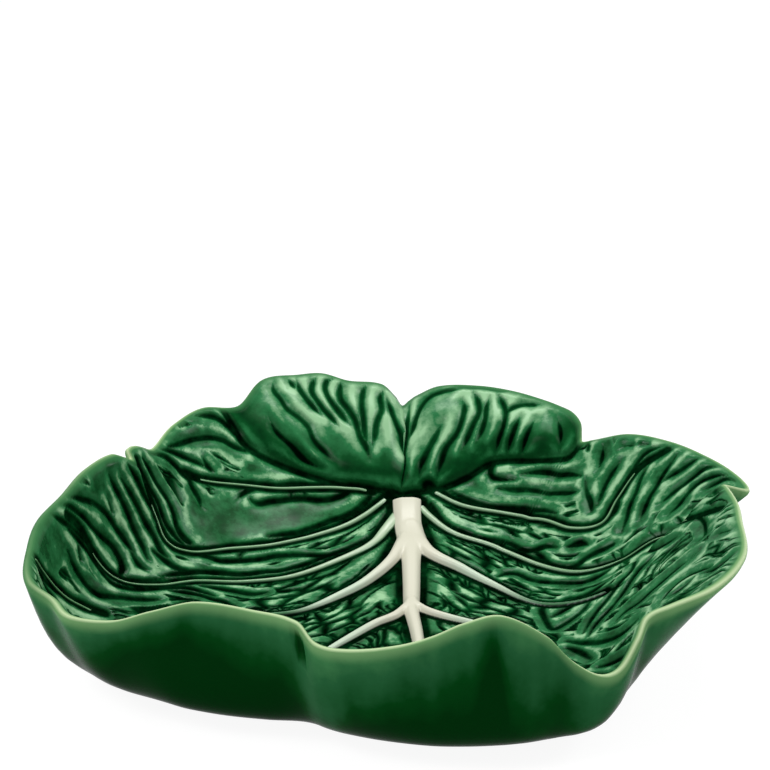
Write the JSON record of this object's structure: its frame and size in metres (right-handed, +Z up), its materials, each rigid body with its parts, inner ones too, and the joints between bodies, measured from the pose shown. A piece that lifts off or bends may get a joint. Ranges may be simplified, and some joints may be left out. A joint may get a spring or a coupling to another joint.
{
  "type": "cabbage leaf platter",
  "caption": "Deep platter in the form of a curled cabbage leaf, with a waved lip, a raised pale midrib with side ribs, and a ring foot",
  "frame": {"origin": "on the table at the middle of the foot ring", "axes": "+Z up; +Y towards the back, where the stalk end and the two large back lobes are; +X to the right seen from the front"},
  "size_m": [0.3836, 0.3483, 0.083],
  "materials": {
    "green_glaze": "gloss",
    "ivory_glaze": "gloss",
    "bare_clay": "matte"
  },
  "bodies": {
    "root": {"leaf_shell": "green_glaze", "midrib": "ivory_glaze", "foot_ring": "bare_clay"}
  },
  "joints": []
}
